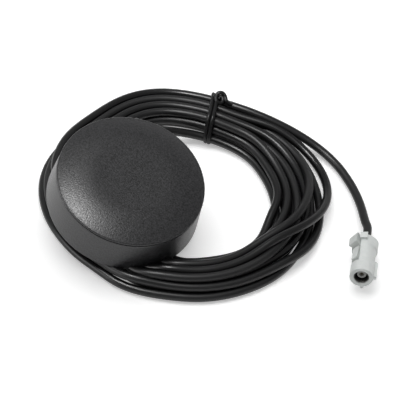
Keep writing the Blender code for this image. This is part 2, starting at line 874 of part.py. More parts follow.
def build():
    clear_scene()
    black = material("black_moulding", (0.045, 0.045, 0.047), 0.6)
    jacket = material("black_cable_jacket", (0.018, 0.018, 0.019), 0.42)
    rubber = material("black_rubber", (0.02, 0.02, 0.02), 0.8)
    magnet = material("nickel_magnet", (0.55, 0.54, 0.52), 0.3, 1.0)
    board = material("green_board", (0.02, 0.12, 0.05), 0.5)
    steel = material("plated_steel", (0.6, 0.6, 0.58), 0.3, 1.0)
    ceramic = material("tan_ceramic", (0.55, 0.42, 0.3), 0.7)
    foam = material("white_foam_tape", (0.8, 0.8, 0.78), 0.9)
    chip = material("chip_black", (0.03, 0.03, 0.03), 0.5)
    copper = material("copper_braid", (0.75, 0.45, 0.3), 0.35, 1.0)
    white = material("white_insulator", (0.8, 0.8, 0.78), 0.5)
    gold = material("gold_plate", (0.9, 0.65, 0.25), 0.25, 1.0)
    grey = material("pale_grey_moulding", (0.62, 0.64, 0.63), 0.5)
    tie = material("black_tie_coating", (0.015, 0.015, 0.016), 0.35)

    puck, puck_turn = puck_frame()
    up = puck_turn.to_3x3() @ Vector((0.0, 0.0, 1.0))
    top_cover(puck, black)
    housing_body(puck, black)
    sealing_ring(puck, rubber)
    base_magnet(puck, magnet)
    base_pad(puck, rubber)
    circuit_board(puck, board)
    board_screws(puck, steel)
    ceramic_patch(puck, ceramic)
    patch_tape(puck, foam)
    feed_pin(puck, steel)
    shield_can(puck, steel)
    board_chips(puck, chip)
    cable_grommet(puck, rubber)
    cable_end_inside(puck, jacket, copper, white)

    cable_coil(jacket, up)
    twist_tie(tie)
    leave = puck_turn @ Vector((exit_start() + gap, 0.0, exit_height))
    lead_in = [leave, *above_floor(lead_in_route)]
    tube("cable_lead_in", smooth_route(lead_in, 1.2 * cable_diameter), cable_diameter / 2, jacket)

    connector, connector_turn = connector_frame()
    connector_housing(connector, grey)
    connector_contacts(connector, steel, white, gold)
    enter = [
        connector_turn @ Vector((-1.5 * cable_diameter, 0.0, 0.0)),
        connector_turn @ Vector((0.0, 0.0, 0.0)),
        connector_turn @ Vector((cable_insertion, 0.0, 0.0)),
    ]
    lead_out = [*above_floor(lead_out_route), *enter]
    tube("cable_lead_out", smooth_route(lead_out, 1.3 * cable_diameter), cable_diameter / 2, jacket)


build()
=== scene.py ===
import json
import math

import bpy
import numpy as np
from mathutils import Matrix, Vector


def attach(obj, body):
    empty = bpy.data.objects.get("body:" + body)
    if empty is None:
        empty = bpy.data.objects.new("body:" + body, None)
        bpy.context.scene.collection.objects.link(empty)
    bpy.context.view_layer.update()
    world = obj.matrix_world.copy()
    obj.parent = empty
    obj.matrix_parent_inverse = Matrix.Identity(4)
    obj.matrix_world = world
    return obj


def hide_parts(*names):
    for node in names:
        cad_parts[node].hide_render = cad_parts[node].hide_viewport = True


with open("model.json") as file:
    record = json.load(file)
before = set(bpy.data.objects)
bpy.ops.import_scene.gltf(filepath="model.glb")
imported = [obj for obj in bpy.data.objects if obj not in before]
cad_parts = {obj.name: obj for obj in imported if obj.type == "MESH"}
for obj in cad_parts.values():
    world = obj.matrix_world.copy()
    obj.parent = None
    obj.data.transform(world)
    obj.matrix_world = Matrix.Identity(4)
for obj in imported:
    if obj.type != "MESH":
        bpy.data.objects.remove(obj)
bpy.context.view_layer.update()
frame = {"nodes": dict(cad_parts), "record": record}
mm = 0.001
shown = bpy.context.scene.collection


# Small tools

def linearColour(code):
    # sRGB hex to linear: below 0.04045 a straight line, above it a power of 2.4
    parts = np.array([int(code[i:i + 2], 16) for i in (1, 3, 5)]) / 255
    parts = np.where(parts <= 0.04045, parts / 12.92, ((parts + 0.055) / 1.055) ** 2.4)
    return (*parts.tolist(), 1.0)


def addNode(tree, kind, settings=None, links=None, **attributes):
    # one node: attributes first, then the values on its sockets, then what feeds them
    node = tree.nodes.new(kind)
    for name, value in attributes.items():
        setattr(node, name, value)
    for name, value in (settings or {}).items():
        node.inputs[name].default_value = value
    for name, socket in (links or {}).items():
        tree.links.new(socket, node.inputs[name])
    return node


def newMaterial(name, settings):
    # a material with its shader, and the shader's plain values
    material = bpy.data.materials.new(name)
    material.use_nodes = True
    shader = material.node_tree.nodes["Principled BSDF"]
    for socket, value in settings.items():
        shader.inputs[socket].default_value = value
    return material, material.node_tree, shader


def makeMesh(name, points, quads, triangles=None, uv=None, smooth=True):
    # points (n, 3) in metres, faces as arrays of vertex numbers, put in with foreach_set
    mesh = bpy.data.meshes.new(name)
    triangles = np.zeros((0, 3), np.int32) if triangles is None else np.asarray(triangles, np.int32)
    quads = np.asarray(quads, np.int32).reshape(-1, 4)
    corners = np.concatenate([quads.ravel(), triangles.ravel()])
    sizes = np.concatenate([np.full(len(quads), 4), np.full(len(triangles), 3)])
    starts = np.concatenate([[0], np.cumsum(sizes)[:-1]])
    mesh.vertices.add(len(points))
    mesh.vertices.foreach_set("co", np.asarray(points, np.float32).ravel())
    mesh.loops.add(len(corners))
    mesh.loops.foreach_set("vertex_index", corners.astype(np.int32))
    mesh.polygons.add(len(sizes))
    mesh.polygons.foreach_set("loop_start", starts.astype(np.int32))
    mesh.polygons.foreach_set("use_smooth", np.full(len(sizes), smooth))
    mesh.update(calc_edges=True)
    mesh.validate()
    if uv is not None:
        layer = mesh.uv_layers.new(name="UVMap")
        layer.uv.foreach_set("vector", np.asarray(uv, np.float32)[corners].ravel())
    made = bpy.data.objects.new(name, mesh)
    shown.objects.link(made)
    return made


def gridQuads(rows, around, closedRows=False):
    # the quads of a grid that is closed around, and closed along its rows if asked
    i = np.arange(rows if closedRows else rows - 1)[:, None]
    j = np.arange(around)[None, :]
    a, b = i * around + j, i * around + (j + 1) % around
    c, d = ((i + 1) % rows) * around + (j + 1) % around, ((i + 1) % rows) * around + j
    return np.stack([a, b, c, d], -1).reshape(-1, 4)


def turnedPiece(name, profile, place, steps=192, sharp=40.0):
    # a closed outline (radius, height) in mm turned about Z: (r cos a, r sin a, h), then placed
    profile = np.asarray(profile, float)
    onAxis = profile[0, 0] == 0 and profile[-1, 0] == 0
    body = profile[1:-1] if onAxis else profile
    angle = np.arange(steps) * math.tau / steps
    ring = np.stack([np.cos(angle), np.sin(angle)], -1)
    points = np.empty((len(body), steps, 3))
    points[..., :2] = body[:, None, :1] * ring[None]
    points[..., 2] = body[:, None, 1]
    points = points.reshape(-1, 3)
    quads = gridQuads(len(body), steps, closedRows=not onAxis)
    triangles = None
    if onAxis:
        poles = np.array([[0, 0, profile[0, 1]], [0, 0, profile[-1, 1]]])
        first, last = len(points), len(points) + 1
        points = np.concatenate([points, poles])
        j = np.arange(steps)
        k = (j + 1) % steps
        base = (len(body) - 1) * steps
        triangles = np.concatenate([
            np.stack([np.full(steps, first), k, j], -1),
            np.stack([np.full(steps, last), base + j, base + k], -1),
        ])
    turn = np.array(place)
    points = points * mm @ turn[:3, :3].T + turn[:3, 3]
    piece = makeMesh(name, points, quads, triangles)
    piece.data.set_sharp_from_angle(angle=math.radians(sharp))
    return piece


def travelledAt(points):
    # how far along the line each of its points lies: the sum of the distances up to it
    return np.concatenate([[0], np.cumsum(np.linalg.norm(np.diff(points, axis=0), axis=1))])


def evenlySpaced(points, steps):
    # the line's points again, at equal steps of travelled length
    travelled = travelledAt(points)
    wanted = np.linspace(0, travelled[-1], steps + 1)
    return np.stack([np.interp(wanted, travelled, column) for column in points.T], -1)


def smoothPath(points, spacing):
    # Catmull-Rom through the points as whole arrays, then evenly spaced by travelled length
    points = np.asarray(points, float)
    ends = np.concatenate([[2 * points[0] - points[1]], points, [2 * points[-1] - points[-2]]])
    a, b, c, d = ends[:-3], ends[1:-2], ends[2:-1], ends[3:]
    t = (np.arange(16) / 16)[None, :, None]
    a, b, c, d = (part[:, None, :] for part in (a, b, c, d))
    bend, swing = 2 * a - 5 * b + 4 * c - d, 3 * b - a - 3 * c + d
    dense = 0.5 * (2 * b + (c - a) * t + bend * t**2 + swing * t**3)
    dense = np.concatenate([dense.reshape(-1, 3), points[-1:]])
    return evenlySpaced(dense, max(2, round(travelledAt(dense)[-1] / spacing)))


def sweptPiece(name, path, section, side):
    # a section (n, 2) carried along a path: point = path + u * sideways + v * (along x sideways), ends closed
    along = np.gradient(path, axis=0)
    along /= np.linalg.norm(along, axis=1, keepdims=True)
    side = side - along * np.sum(side * along, axis=1, keepdims=True)
    side /= np.linalg.norm(side, axis=1, keepdims=True)
    over = np.cross(along, side)
    section = np.broadcast_to(section, (len(path), *np.shape(section)[-2:]))
    points = path[:, None] + side[:, None] * section[..., :1] + over[:, None] * section[..., 1:]
    rows, around = points.shape[:2]
    travelled = travelledAt(path)
    turn = np.arange(around) / around
    uv = np.stack(np.broadcast_arrays(travelled[:, None], turn[None]), -1).reshape(-1, 2)
    points = np.concatenate([points.reshape(-1, 3), path[:1], path[-1:]])
    uv = np.concatenate([uv, [[travelled[0], 0.5], [travelled[-1], 0.5]]])
    j = np.arange(around)
    k = (j + 1) % around
    first, last, base = rows * around, rows * around + 1, (rows - 1) * around
    caps = np.concatenate([
        np.stack([np.full(around, first), k, j], -1),
        np.stack([np.full(around, last), base + j, base + k], -1),
    ])
    return makeMesh(name, points, gridQuads(rows, around), caps, uv)


def circleSection(radius, sides):
    # even points round a circle: (r cos a, r sin a)
    angle = np.arange(sides) * math.tau / sides
    return np.stack([np.cos(angle), np.sin(angle)], -1) * radius


# Camera

cameraPlace = dict(
    target=(23.955, 13.213, -8.608), elevation=48.0, roll=8.0, distance=900.0, widthSeen=128.0, sensor=36.0,
)


def addCamera():
    # stands at the photo's elevation behind -Y, turned about its own line of sight by the roll
    tilt, roll = math.radians(cameraPlace["elevation"]), math.radians(cameraPlace["roll"])
    back = Vector((0, -math.cos(tilt), math.sin(tilt)))
    level = Vector((0, math.sin(tilt), math.cos(tilt)))
    right = Vector((1, 0, 0)) * math.cos(roll) + level * math.sin(roll)
    upward = level * math.cos(roll) - Vector((1, 0, 0)) * math.sin(roll)
    data = bpy.data.cameras.new("camera")
    data.sensor_width = cameraPlace["sensor"]
    data.lens = cameraPlace["sensor"] * cameraPlace["distance"] / cameraPlace["widthSeen"]
    data.clip_start, data.clip_end = 0.05, 20.0
    camera = bpy.data.objects.new("camera", data)
    shown.objects.link(camera)
    place = (Vector(cameraPlace["target"]) + back * cameraPlace["distance"]) * mm
    camera.matrix_world = Matrix.Translation(place) @ Matrix((right, upward, back)).transposed().to_4x4()
    bpy.context.scene.camera = camera


addCamera()
print("camera placed")


# Where the puck leans and the floor lies

lean = dict(tilt=11.8, azimuth=-43.4, exitAzimuth=90.0, lowEdge=3.6)
puck = dict(
    baseRadius=24.498, rimRadius=23.548, rimHeight=12.1, totalHeight=15.5, plateauRadius=11.6, domePower=1.8,
    coverEdge=0.55, groove=0.4, grooveDepth=0.3, wall=1.9, coverWall=1.8, spigotDepth=1.5, spigotWall=1.1,
    ledge=1.2, ledgeDrop=0.6, ledgeFoot=1.56, seal=0.84, padRadius=22.498, recess=1.1, floorTop=2.3,
    magnetRadius=11.998, hubWall=1.4, hubTop=5.0, pocketTop=3.9, foot=0.25, play=0.3, exitHeight=5.1, boot=1.4,
)
puckTurn = (
    Matrix.Rotation(math.radians(lean["azimuth"]), 4, "Z")
    @ Matrix.Rotation(math.radians(lean["tilt"]), 4, "Y")
    @ Matrix.Rotation(math.radians(lean["exitAzimuth"] - lean["azimuth"]), 4, "Z")
)
floorHeight = -(lean["lowEdge"] + puck["baseRadius"] * math.sin(math.radians(lean["tilt"])))


# The tie's wire is made below, but the turns are lifted where it passes under them
tie = dict(
    radius=0.66, azimuth=79.0, outerAzimuth=80.5, innerAzimuth=76.9, pitch=1.34, liftReach=10.0,
    shiftPlaces=[0, 0.35, 0.75, 1.45, 1.95],  # times round the turns
    shifts=[-0.5, -0.5, 0.5, 0.5, 3.2],  # how far sideways it then lies, in pitches
    sides=14, spacing=0.28, clearance=0.02,
)


# The lead: one cable from the puck through the coil to the connector

cable = dict(
    diameter=2.8, sides=16, spacing=1.3,
    centre=(17.2, 11.1), across=42.9, along=40.8,  # the outermost turn's centre line
    layerStep=0.87,  # of a diameter: a turn lies in the furrow between two others
    stations=96, lastStations=9, startAzimuth=90.0,
    tieToRight=(66, 32), rightToFront=(14, -46), frontToTie=(-150, -222),  # azimuths between which places change
    wander=0.35, heldAt=78, heldReach=18,  # turns wander, but not where the tie holds them
    firstRise=1.0, firstInward=1.5, firstFade=2.5, lastRise=1.6,  # the ends of the winding
    rounds=420, quietRounds=12, pushes=6, pull=0.07, push=0.3, straighten=0.08,  # how the turns settle
    clearance=0.06, puckGap=0.25, exitGap=0.3, routeSpacing=2.4, easeReach=7.0, easeRounds=30,
    leadIn=[(0.2, 28.1, 16.0), (0.9, 30.2, 13.3), (2.7, 32.0, 9.8), (6.0, 34.4, 6.4), (10.7, 37.4, 4.4)],
    leadOut=[
        (45.2, 45.3, 7.4), (49.8, 44.5, 5.6), (54.3, 43.7, 3.9), (58.7, 42.0, 2.6), (63.2, 38.7, 1.7),
        (66.1, 35.8, 1.5), (68.4, 32.7, 1.5), (72.2, 26.3, 1.5), (75.0, 19.4, 1.9), (76.9, 11.7, 3.0),
    ],
    connector=dict(x=77.8, y=3.8, yaw=-92.2, pitch=7.0, collar=4.1, insertion=5.0),
)
# Each pass of the cable, from the puck onwards: how far in from the outermost line, and its layer, at the tie,
# at the right, where some turns lie loose, and in front. Layers count up from the floor
passes = [
    ((6.8, 0), (11.9, 0), (8.6, 0)),
    ((6.0, 1), (10.5, 1), (12.3, 0)),
    ((5.1, 2), (7.9, 1), (11.0, 1)),
    ((4.4, 0), (9.1, 0), (5.7, 0)),
    ((3.1, 0), (6.3, 0), (7.2, 1)),
    ((4.7, 1), (5.1, 1), (4.3, 2)),
    ((3.7, 2), (2.4, 1), (4.4, 1)),
    ((2.2, 1), (3.5, 0), (2.8, 0)),
    ((1.1, 0), (0.8, 0), (-0.1, 0)),
    ((-1.7, 0), (-1.6, 0), (1.4, 1)),
    ((-0.2, 1), (0.2, 1), (9.0, 2)),
    ((1.3, 2), (-5.4, 0), (6.6, 2)),
    ((-1.2, 2), (-1.4, 2), (-1.2, 2)),
]
# Some turns lie loose at the right, by their number in the list above: azimuth, how far in, and height
looseTurns = {
    1: [
        (10, 11.4, 2.6), (2, 11.8, 2.0), (-6, 12.0, 1.6), (-14, 12.1, 1.4), (-30, 12.2, 1.4), (-42, 12.7, 1.4),
        (-54, 13.8, 1.4), (-66, 14.5, 1.4), (-78, 14.5, 1.4), (-90, 13.5, 1.4),
    ],
    9: [
        (60, -1.2, 1.4), (45, -1.2, 1.4), (22, -1.2, 1.4), (13, -1.5, 1.4), (4, -2.3, 1.4), (0, -2.6, 1.4),
        (-9, -2.5, 1.4), (-14, -2.2, 1.6), (-20, -1.7, 2.5), (-28, -0.3, 3.5), (-40, 1.1, 3.84),
    ],
    10: [
        (24.3, 0.1, 5.2), (13.5, 1.4, 6.6), (2.6, 2.4, 7.8), (-8.9, 4.1, 8.6), (-19.4, 6.3, 8.8), (-31.1, 8.3, 8.6),
        (-41.6, 9.4, 8.2),
    ],
    11: [
        (62, 1.6, 6.4), (52, 0.2, 6.6), (45, -1.9, 5.2), (39, -4.0, 3.0), (34, -5.7, 1.6), (29.5, -6.5, 1.4),
        (20.8, -6.8, 1.4), (16.7, -6.7, 1.5), (12.2, -6.1, 2.0), (6.7, -4.8, 3.2), (-0.7, -2.6, 5.2), (-8.5, 0.0, 7.2),
        (-14.6, 2.3, 8.4), (-22, 5.2, 8.8), (-29.9, 7.6, 8.0), (-37.7, 9.2, 6.8), (-50, 9.0, 6.3),
    ],
}
# Where the whole winding is narrower than its oval: azimuth, and how far in its outer side lies
narrowings = [
    (288, 0.0), (274, 0.5), (264, 2.6), (254, 4.2), (246, 4.0), (236, 3.2), (222, 1.7), (208, 0.5), (195, 0.0),
    (183, 0.2), (174, 1.0), (158, 2.2), (146, 4.5), (138, 4.4), (128, 2.2), (118, 1.0), (108, 0.4), (98, 0.9),
    (88, 2.7), (78, 3.6), (68, 3.9), (58, 1.9), (48, 0.0),
]


def rampDown(angle, high, low):
    # 1 above high, 0 below low, and a smooth step 3t^2 - 2t^3 between them
    t = np.clip((angle - low) / (high - low), 0, 1)
    return t * t * (3 - 2 * t)


def coilTargets():
    # for each pass and station: the inward place s and the height z that the cable tends to
    stations = cable["stations"]
    radius = cable["diameter"] / 2
    angle = np.arange(stations) * 360 / stations  # how far round from the start, clockwise
    azimuth = cable["startAzimuth"] - angle
    layers = radius + np.arange(3) * cable["layerStep"] * cable["diameter"]
    slots = np.array(passes)  # pass, zone, (s, layer)
    s, z = slots[..., 0], layers[slots[..., 1].astype(int)]
    nextS, nextZ = np.roll(s[:, 0], -1), np.roll(z[:, 0], -1)
    tieToRight = rampDown(azimuth, *cable["tieToRight"])[None]
    rightToFront = rampDown(azimuth, *cable["rightToFront"])[None]
    frontToTie = rampDown(azimuth, *cable["frontToTie"])[None]

    def blend(values, following):
        # from the tie's place to the right's, to the front's, and to the next pass's at the tie
        across = values[:, 1:2] + (values[:, :1] - values[:, 1:2]) * tieToRight
        down = values[:, 2:3] + (across - values[:, 2:3]) * rightToFront
        return following[:, None] + (down - following[:, None]) * frontToTie

    s, z = blend(s, nextS), blend(z, nextZ)
    # each turn wanders in two waves and five smaller ones a round, with a phase of its own
    phase = np.arange(len(passes))[:, None] * 2.4
    turn = np.radians(angle)[None]
    loose = 1 - np.exp(-(((azimuth - cable["heldAt"]) / cable["heldReach"]) ** 2))
    s = s + cable["wander"] * loose * (np.sin(2 * turn + phase) + 0.6 * np.sin(5 * turn + 1.7 * phase))
    far, way = np.array(narrowings[::-1], float).T
    s = s + np.interp(azimuth % 360, far, way, left=0, right=0)[None]
    fading = 12  # degrees over which a loose turn leaves its place in the winding, and comes back to it
    for number, places in looseTurns.items():
        far, way, high = np.array(places[::-1], float).T
        share = rampDown(azimuth, far[0] + fading, far[0]) * (1 - rampDown(azimuth, far[-1], far[-1] - fading))
        s[number] += (np.interp(azimuth, far, way) - s[number]) * share
        z[number] += (np.interp(azimuth, far, high) - z[number]) * share
    return azimuth, np.stack([s, z], -1)


def ellipseRadius(azimuth):
    # distance from the centre to the outermost turn's oval in this direction
    turn = np.radians(azimuth)
    return 1 / np.hypot(np.cos(turn) / cable["across"], np.sin(turn) / cable["along"])


def coilPoints(azimuth, s, z):
    # a place in the coil's section to a point: centre + (oval radius - s) outwards, z above the floor
    turn = np.radians(azimuth)
    out = ellipseRadius(azimuth) - s
    x, y = cable["centre"]
    return np.stack([x + out * np.cos(turn), y + out * np.sin(turn), z + floorHeight], -1)


def outerRadius(height):
    # the puck's wall: a straight line from the base's radius to the rim's
    return puck["baseRadius"] + (puck["rimRadius"] - puck["baseRadius"]) * height / puck["rimHeight"]


def clearOfPuck(azimuth, place):
    # turns that reach into the leaning puck go down below its base, or outwards past its edge
    points = coilPoints(azimuth[None], place[..., 0], place[..., 1])
    local = points @ np.array(puckTurn.to_3x3())
    reach = cable["diameter"] / 2 + cable["puckGap"]
    edge = puck["baseRadius"] + reach - np.hypot(local[..., 0], local[..., 1])
    down = (local[..., 2] + reach) / puckTurn[2][2]
    inside = (edge > 0) & (down > 0)
    sideways = inside & (edge < down)
    place[..., 0] -= np.where(sideways, edge, 0) * 0.5  # outwards by halves, round after round
    place[..., 1] -= np.where(inside & ~sideways, down, 0)
    return place


def settleCoil():
    # the turns are pulled to their places, smoothed along the cable, and pushed a diameter apart, in rounds
    azimuth, wanted = coilTargets()
    count, stations = wanted.shape[:2]
    real = np.ones((count, stations), bool)
    real[-1, cable["lastStations"] + 1:] = False
    # the first pass comes down from the puck along the inner side, and the last one rises towards the lead-out
    start = np.exp(-np.arange(stations) / cable["firstFade"])
    wanted[0, :, 1] += cable["firstRise"] * start
    wanted[0, :, 0] += cable["firstInward"] * start
    wanted[-1, :, 1] += cable["lastRise"] * np.linspace(0, 1, stations) * stations / cable["lastStations"]
    total = int(real.sum())
    apart = cable["diameter"] + cable["clearance"]
    # no turn goes lower than the floor, or than the tie's wire where it passes under them
    lift = np.exp(-(((azimuth - tie["azimuth"]) / tie["liftReach"]) ** 2))
    low = cable["diameter"] / 2 + 2 * tie["radius"] * lift
    wanted[..., 1] += (low - cable["diameter"] / 2)[None]
    place = wanted.copy()
    own = np.eye(count, dtype=bool)[:, :, None]
    spare = 1e4 + np.arange(count * stations).reshape(count, stations, 1) * 10.0  # far off, where the lead has ended
    for step in range(cable["rounds"]):
        ending = step > cable["rounds"] - cable["quietRounds"]
        place += (wanted - place) * (0.0 if ending else cable["pull"])
        line = place.reshape(-1, 2)[:total]
        ease = cable["straighten"]
        line[1:-1] = (1 - 2 * ease) * line[1:-1] + ease * (line[:-2] + line[2:])
        for _ in range(cable["pushes"]):
            held = np.where(real[..., None], place, spare)
            away = held[:, None] - held[None]
            distance = np.linalg.norm(away, axis=-1) + 1e-9
            overlap = np.where(own, 0, np.clip(apart - distance, 0, None))
            push = (away / distance[..., None] * overlap[..., None]).sum(axis=1) * cable["push"]
            place += np.where(real[..., None], push, 0)
            place[..., 1] = np.maximum(place[..., 1], low)
            place = clearOfPuck(azimuth, place)
            place[..., 1] = np.maximum(place[..., 1], low)
    held = np.where(real[..., None], place, spare)
    distance = np.linalg.norm(held[:, None] - held[None], axis=-1) + 1e3 * own
    print("turns settled, the closest", round(float(distance.min()), 2), "mm apart")
    near = np.abs(azimuth - tie["azimuth"]).argmin()
    atTie = place[:, near].copy()
    azimuths = np.broadcast_to(azimuth[None], real.shape).reshape(-1)[:total]
    line = place.reshape(-1, 2)[:total]
    for _ in range(5):
        line[1:-1] = 0.5 * line[1:-1] + 0.25 * (line[:-2] + line[2:])
    return coilPoints(azimuths, line[:, 0], line[:, 1]), atTie


def connectorTurn():
    # the connector's own axes: X from its rear end to its mouth
    facts = cable["connector"]
    place = Vector((facts["x"], facts["y"], floorHeight + facts["collar"])) * mm
    turn = Matrix.Rotation(math.radians(facts["yaw"]), 4, "Z") @ Matrix.Rotation(math.radians(-facts["pitch"]), 4, "Y")
    return Matrix.Translation(place) @ turn


def cableRoute():
    # puck, lead-in, coil, lead-out and connector as one list of points in mm
    raised = np.array([0, 0, floorHeight])
    gap = cable["exitGap"]
    exitAlong = outerRadius(puck["exitHeight"]) + puck["boot"] + gap
    leave = [np.array(puckTurn @ Vector((exitAlong + step, 0, puck["exitHeight"]))) for step in (0, gap)]
    turn = connectorTurn()
    enter = [
        np.array(turn @ Vector((along * mm, 0, 0))) / mm
        for along in (-1.5 * cable["diameter"], 0, cable["connector"]["insertion"])
    ]
    coil, atTie = settleCoil()
    leadIn = np.array(cable["leadIn"]) + raised
    leadOut = np.array(cable["leadOut"]) + raised
    route = np.concatenate([leave, leadIn, coil, leadOut, enter])
    joints = (len(leave) + len(leadIn), len(leave) + len(leadIn) + len(coil))
    return route, joints, leave[0], atTie


def leadCable():
    # a circle carried along the route, which is a smooth curve through its points
    route, joints, leave, atTie = cableRoute()
    even = smoothPath(route, cable["routeSpacing"])
    # the two places where the free runs meet the coil are eased, so that the cable bends gently there
    middle = [np.linalg.norm(even - route[joint], axis=1).argmin() for joint in joints]
    share = sum(np.exp(-(((np.arange(len(even)) - m) / cable["easeReach"]) ** 2)) for m in middle)[:, None]
    share[:3] = share[-6:] = 0  # its ends stay in line with the puck's exit and the connector
    for _ in range(cable["easeRounds"]):
        eased = even.copy()
        eased[1:-1] = 0.5 * even[1:-1] + 0.25 * (even[:-2] + even[2:])
        even += (eased - even) * np.clip(share, 0, 1)
    path = smoothPath(even, cable["spacing"]) * mm
    upward = np.broadcast_to(np.array([0.0, 0.0, 1.0]), path.shape)
    along = np.gradient(path, axis=0)
    section = circleSection(cable["diameter"] / 2 * mm, cable["sides"])
    jacket = sweptPiece("lead_cable", path, section, np.cross(along, upward))
    length = float(travelledAt(path)[-1])
    print("cable length", round(length, 3), "m, vertices", len(jacket.data.vertices))
    return jacket, path, leave * mm, length, atTie


leadJacket, leadPath, leadExit, leadLength, turnsAtTie = leadCable()


# Stage

stageFacts = dict(floorSize=8.0, floorWhite="#f4f4f4", floorGap=0.02, glow=0.35, mirroredGlow=0.35, evenLight=0.28)


def floorMaterial():
    # seamless white paper: matt, and lifted to white for the camera and in reflections, with the shadow kept
    material, tree, shader = newMaterial("seamless white paper", {
        "Base Color": linearColour(stageFacts["floorWhite"]), "Roughness": 0.9, "Specular IOR Level": 0.1,
    })
    rays = addNode(tree, "ShaderNodeLightPath")
    lift = addNode(tree, "ShaderNodeEmission", {"Strength": stageFacts["glow"]})
    mirrored = addNode(tree, "ShaderNodeEmission", {"Strength": stageFacts["mirroredGlow"]})
    dark = addNode(tree, "ShaderNodeEmission", {"Strength": 0.0})
    seen, glossy, through = (rays.outputs[kind] for kind in ("Is Camera Ray", "Is Glossy Ray", "Is Transmission Ray"))
    shiny = addNode(tree, "ShaderNodeMath", links={0: glossy, 1: through}, operation="MAXIMUM")
    pick = addNode(tree, "ShaderNodeMixShader", links={0: seen, 1: dark.outputs[0], 2: lift.outputs[0]})
    pick = addNode(tree, "ShaderNodeMixShader", links={0: shiny.outputs[0], 1: pick.outputs[0], 2: mirrored.outputs[0]})
    both = addNode(tree, "ShaderNodeAddShader", links={0: shader.outputs[0], 1: pick.outputs[0]})
    tree.links.new(both.outputs[0], tree.nodes["Material Output"].inputs["Surface"])
    return material


def addStage():
    # one square of floor, just under the lowest turn
    half = stageFacts["floorSize"] / 2
    height = floorHeight * mm - stageFacts["floorGap"] * mm
    corners = [(-half, -half, height), (half, -half, height), (half, half, height), (-half, half, height)]
    floor = makeMesh("floor", np.array(corners), [[0, 1, 2, 3]])
    floor.data.materials.append(floorMaterial())


lampFacts = [
    # name, place, target, width and height in mm, power in watts, whether it lights surfaces, and whether
    # reflections show it
    ("softbox_above", (-120, 300, 850), (15, 10, 0), (1000, 750), 7.2, True, False),
    ("strip_above", (-60, 420, 800), (15, 10, 0), (220, 130), 0.16, False, True),
    ("reflector_overhead", (-220, -50, 860), (0, 0, 5), (250, 250), 6.6, False, True),
    ("strip_behind", (0, 800, 200), (0, 0, 0), (1200, 150), 0.6, False, True),
    ("softbox_left", (-600, -380, 420), (0, 0, 5), (450, 350), 0.3, True, False),
    ("reflector_left", (-700, -300, 300), (-20, 0, 0), (450, 400), 2.4, False, True),
    ("softbox_right", (600, -200, 500), (20, 0, 0), (400, 400), 0.25, True, False),
]


def addLamps():
    # oblong lamps, each turned to face its target
    for name, place, target, size, power, lighting, mirrored in lampFacts:
        data = bpy.data.lights.new(name, "AREA")
        data.shape = "RECTANGLE"
        data.size, data.size_y = size[0] * mm, size[1] * mm
        data.energy = power
        lamp = bpy.data.objects.new(name, data)
        shown.objects.link(lamp)
        lamp.location = Vector(place) * mm
        lamp.rotation_euler = (Vector(place) - Vector(target)).to_track_quat("Z", "Y").to_euler()
        lamp.visible_diffuse, lamp.visible_glossy = lighting, mirrored


def addWorld():
    # soft even light round the object, where the camera sees plain white
    world = bpy.data.worlds.new("studio")
    bpy.context.scene.world = world
    world.use_nodes = True
    tree = world.node_tree
    tree.nodes.clear()
    rays = addNode(tree, "ShaderNodeLightPath")
    light = addNode(tree, "ShaderNodeBackground", {"Color": (1, 1, 1, 1), "Strength": stageFacts["evenLight"]})
    white = addNode(tree, "ShaderNodeBackground", {"Color": (1, 1, 1, 1), "Strength": 1.0})
    links = {0: rays.outputs["Is Camera Ray"], 1: light.outputs[0], 2: white.outputs[0]}
    pick = addNode(tree, "ShaderNodeMixShader", links=links)
    addNode(tree, "ShaderNodeOutputWorld", links={"Surface": pick.outputs[0]})


addStage()
addLamps()
addWorld()
bpy.context.scene.view_settings.view_transform = "Standard"
print("stage lit")


# Materials

def grainBump(tree, shader, scale, strength, depth, coordinates="Object", detail=2.0, squeeze=None):
    # noise heights on the surface: scale is cells per metre, depth in mm is how far they stand out
    place = addNode(tree, "ShaderNodeTexCoord").outputs[coordinates]
    if squeeze:
        place = addNode(tree, "ShaderNodeMapping", {"Scale": squeeze}, {"Vector": place}).outputs[0]
    noise = addNode(tree, "ShaderNodeTexNoise", {"Scale": scale, "Detail": detail, "Roughness": 0.6}, {"Vector": place})
    height = noise.outputs["Fac"]
    bump = addNode(tree, "ShaderNodeBump", {"Strength": strength, "Distance": depth * mm}, {"Height": height})
    tree.links.new(bump.outputs[0], shader.inputs["Normal"])
    return height


def rampTo(tree, shader, socket, value, low, high):
    # a value from 0.3 to 0.7 spread between two colours or two numbers
    first, last = 0.3, 0.7
    if isinstance(low, str):
        spread = addNode(tree, "ShaderNodeValToRGB", links={"Fac": value})
        for element, position, colour in zip(spread.color_ramp.elements, (first, last), (low, high)):
            element.position, element.color = position, linearColour(colour)
    else:
        ends = {"From Min": first, "From Max": last, "To Min": low, "To Max": high}
        spread = addNode(tree, "ShaderNodeMapRange", ends, {"Value": value})
    tree.links.new(spread.outputs[0], shader.inputs[socket])


def extrudedJacket():
    # PVC cable jacket, extruded: black and half glossy, with faint draw lines along it, 0.3 mm apart
    material, tree, shader = newMaterial("extruded PVC jacket", {"IOR": 1.45})
    value = grainBump(tree, shader, 1.0, 0.25, 0.03, "UV", squeeze=(90.0, 28.0, 1.0))
    rampTo(tree, shader, "Base Color", value, "#0f0f10", "#141415")
    # handling dulls it in stretches about 60 mm long
    place = addNode(tree, "ShaderNodeTexCoord").outputs["UV"]
    place = addNode(tree, "ShaderNodeMapping", {"Scale": (16.0, 0.6, 1.0)}, {"Vector": place}).outputs[0]
    dulled = addNode(tree, "ShaderNodeTexNoise", {"Scale": 1.0, "Detail": 2.0}, {"Vector": place})
    rampTo(tree, shader, "Roughness", dulled.outputs["Fac"], 0.22, 0.55)
    return material


